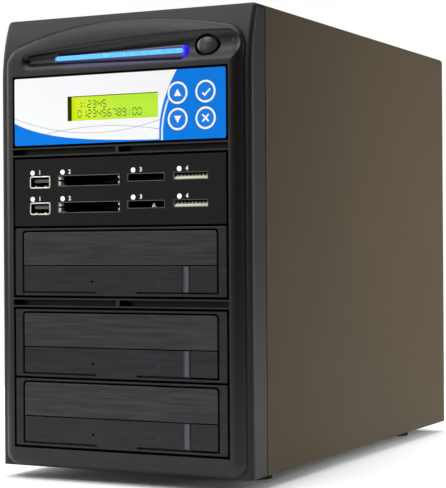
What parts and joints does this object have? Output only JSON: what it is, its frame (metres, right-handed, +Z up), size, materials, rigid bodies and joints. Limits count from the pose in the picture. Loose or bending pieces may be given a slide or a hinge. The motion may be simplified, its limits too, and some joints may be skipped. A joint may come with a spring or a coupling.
{
  "type": "optical disc duplicator",
  "caption": "Upright desktop disc duplicator with a moulded front, keypad and display bay, card-reader bay, stacked tray-loading drives and a rear fan and power supply.",
  "frame": {"origin": "on the floor under the middle of the cabinet's bounding box", "axes": "+X to the right seen from the front, +Y from the front to the rear, +Z up"},
  "size_m": [0.176, 0.3538, 0.2894],
  "materials": {
    "cover_paint": "satin, fine texture",
    "chassis_steel": "zinc-plated sheet",
    "foot_rubber": "matte",
    "screw_steel": "bright",
    "bezel_plastic": "satin moulded",
    "lit_blue": "clear, lit",
    "button_plastic": "satin",
    "circuit_board": "solder mask",
    "fascia_plastic": "moulded",
    "printed_film": "printed film, white and blue",
    "lcd_green": "lit display",
    "lcd_can": "black can",
    "key_film": "printed film",
    "reader_plastic": "fine texture",
    "socket_metal": "plated",
    "socket_plastic": "moulded",
    "lamp_clear": "clear",
    "drive_plastic": "brushed texture",
    "tray_plastic": "moulded",
    "deck_plastic": "moulded",
    "fan_plastic": "moulded",
    "guard_chrome": "plated wire",
    "psu_steel": "zinc-plated sheet",
    "inlet_plastic": "moulded"
  },
  "bodies": {
    "cabinet": {"wrap_cover": "cover_paint", "base_pan": "chassis_steel", "front_plate": "chassis_steel", "drive_cage": "chassis_steel", "rear_panel": "chassis_steel", "rubber_feet": "foot_rubber", "rear_screws": "screw_steel", "drive_screws": "screw_steel", "front_bezel": "bezel_plastic", "light_bar": "lit_blue", "led_board": "circuit_board", "control_fascia": "fascia_plastic", "control_overlay": "printed_film", "keypad_board": "circuit_board", "lcd_glass": "lcd_green", "lcd_module": "lcd_can", "controller_carrier": "chassis_steel", "controller_board": "circuit_board", "reader_fascia": "reader_plastic", "usb_sockets": "socket_metal", "cf_sockets": "socket_plastic", "sd_sockets": "socket_plastic", "ms_sockets": "socket_plastic", "reader_lamps": "lamp_clear", "reader_boards": "circuit_board", "reader_carrier": "chassis_steel", "fan_frame": "fan_plastic", "fan_guard": "guard_chrome", "fan_screws": "screw_steel", "psu_case": "psu_steel", "psu_inlet": "inlet_plastic", "drive_1_bezel": "drive_plastic", "drive_1_shell": "chassis_steel", "drive_1_deck": "deck_plastic", "drive_2_bezel": "drive_plastic", "drive_2_shell": "chassis_steel", "drive_2_deck": "deck_plastic", "drive_3_bezel": "drive_plastic", "drive_3_shell": "chassis_steel", "drive_3_deck": "deck_plastic"},
    "power_button": {"power_button": "button_plastic"},
    "fan_rotor": {"fan_rotor": "fan_plastic"},
    "mains_rocker": {"psu_rocker": "inlet_plastic"},
    "key_up": {"key_up": "key_film"},
    "key_down": {"key_down": "key_film"},
    "key_enter": {"key_enter": "key_film"},
    "key_cancel": {"key_cancel": "key_film"},
    "tray_1": {"drive_1_tray": "tray_plastic", "drive_1_door": "drive_plastic"},
    "eject_1": {"drive_1_eject": "drive_plastic"},
    "turntable_1": {"drive_1_turntable": "deck_plastic"},
    "tray_2": {"drive_2_tray": "tray_plastic", "drive_2_door": "drive_plastic"},
    "eject_2": {"drive_2_eject": "drive_plastic"},
    "turntable_2": {"drive_2_turntable": "deck_plastic"},
    "tray_3": {"drive_3_tray": "tray_plastic", "drive_3_door": "drive_plastic"},
    "eject_3": {"drive_3_eject": "drive_plastic"},
    "turntable_3": {"drive_3_turntable": "deck_plastic"}
  },
  "joints": [
    {"name": "power_press", "type": "slide", "parent": "cabinet", "child": "power_button", "axis": [0, 1, 0], "range_m": [0, 0.002], "stiffness_N_per_m": 300},
    {"name": "key_up_press", "type": "slide", "parent": "cabinet", "child": "key_up", "axis": [0, 1, 0], "range_m": [0, 0.0005], "stiffness_N_per_m": 1200},
    {"name": "key_down_press", "type": "slide", "parent": "cabinet", "child": "key_down", "axis": [0, 1, 0], "range_m": [0, 0.0005], "stiffness_N_per_m": 1200},
    {"name": "key_enter_press", "type": "slide", "parent": "cabinet", "child": "key_enter", "axis": [0, 1, 0], "range_m": [0, 0.0005], "stiffness_N_per_m": 1200},
    {"name": "key_cancel_press", "type": "slide", "parent": "cabinet", "child": "key_cancel", "axis": [0, 1, 0], "range_m": [0, 0.0005], "stiffness_N_per_m": 1200},
    {"name": "tray_1_slide", "type": "slide", "parent": "cabinet", "child": "tray_1", "axis": [0, -1, 0], "range_m": [0, 0.14]},
    {"name": "eject_1_press", "type": "slide", "parent": "cabinet", "child": "eject_1", "axis": [0, 1, 0], "range_m": [0, 0.001], "stiffness_N_per_m": 600},
    {"name": "turntable_1_spin", "type": "hinge", "parent": "cabinet", "child": "turntable_1", "pos_m": [0, -0.10685, 0.1272], "axis": [0, 0, 1], "continuous": true},
    {"name": "tray_2_slide", "type": "slide", "parent": "cabinet", "child": "tray_2", "axis": [0, -1, 0], "range_m": [0, 0.14]},
    {"name": "eject_2_press", "type": "slide", "parent": "cabinet", "child": "eject_2", "axis": [0, 1, 0], "range_m": [0, 0.001], "stiffness_N_per_m": 600},
    {"name": "turntable_2_spin", "type": "hinge", "parent": "cabinet", "child": "turntable_2", "pos_m": [0, -0.10685, 0.0768], "axis": [0, 0, 1], "continuous": true},
    {"name": "tray_3_slide", "type": "slide", "parent": "cabinet", "child": "tray_3", "axis": [0, -1, 0], "range_m": [0, 0.14]},
    {"name": "eject_3_press", "type": "slide", "parent": "cabinet", "child": "eject_3", "axis": [0, 1, 0], "range_m": [0, 0.001], "stiffness_N_per_m": 600},
    {"name": "turntable_3_spin", "type": "hinge", "parent": "cabinet", "child": "turntable_3", "pos_m": [0, -0.10685, 0.0336], "axis": [0, 0, 1], "continuous": true},
    {"name": "fan_spin", "type": "hinge", "parent": "cabinet", "child": "fan_rotor", "pos_m": [0, 0.15935, 0.126], "axis": [0, 1, 0], "continuous": true},
    {"name": "rocker_tilt", "type": "hinge", "parent": "cabinet", "child": "mains_rocker", "pos_m": [-0.0465, 0.16985, 0.2539], "axis": [1, 0, 0], "range_deg": [-16, 0]}
  ]
}
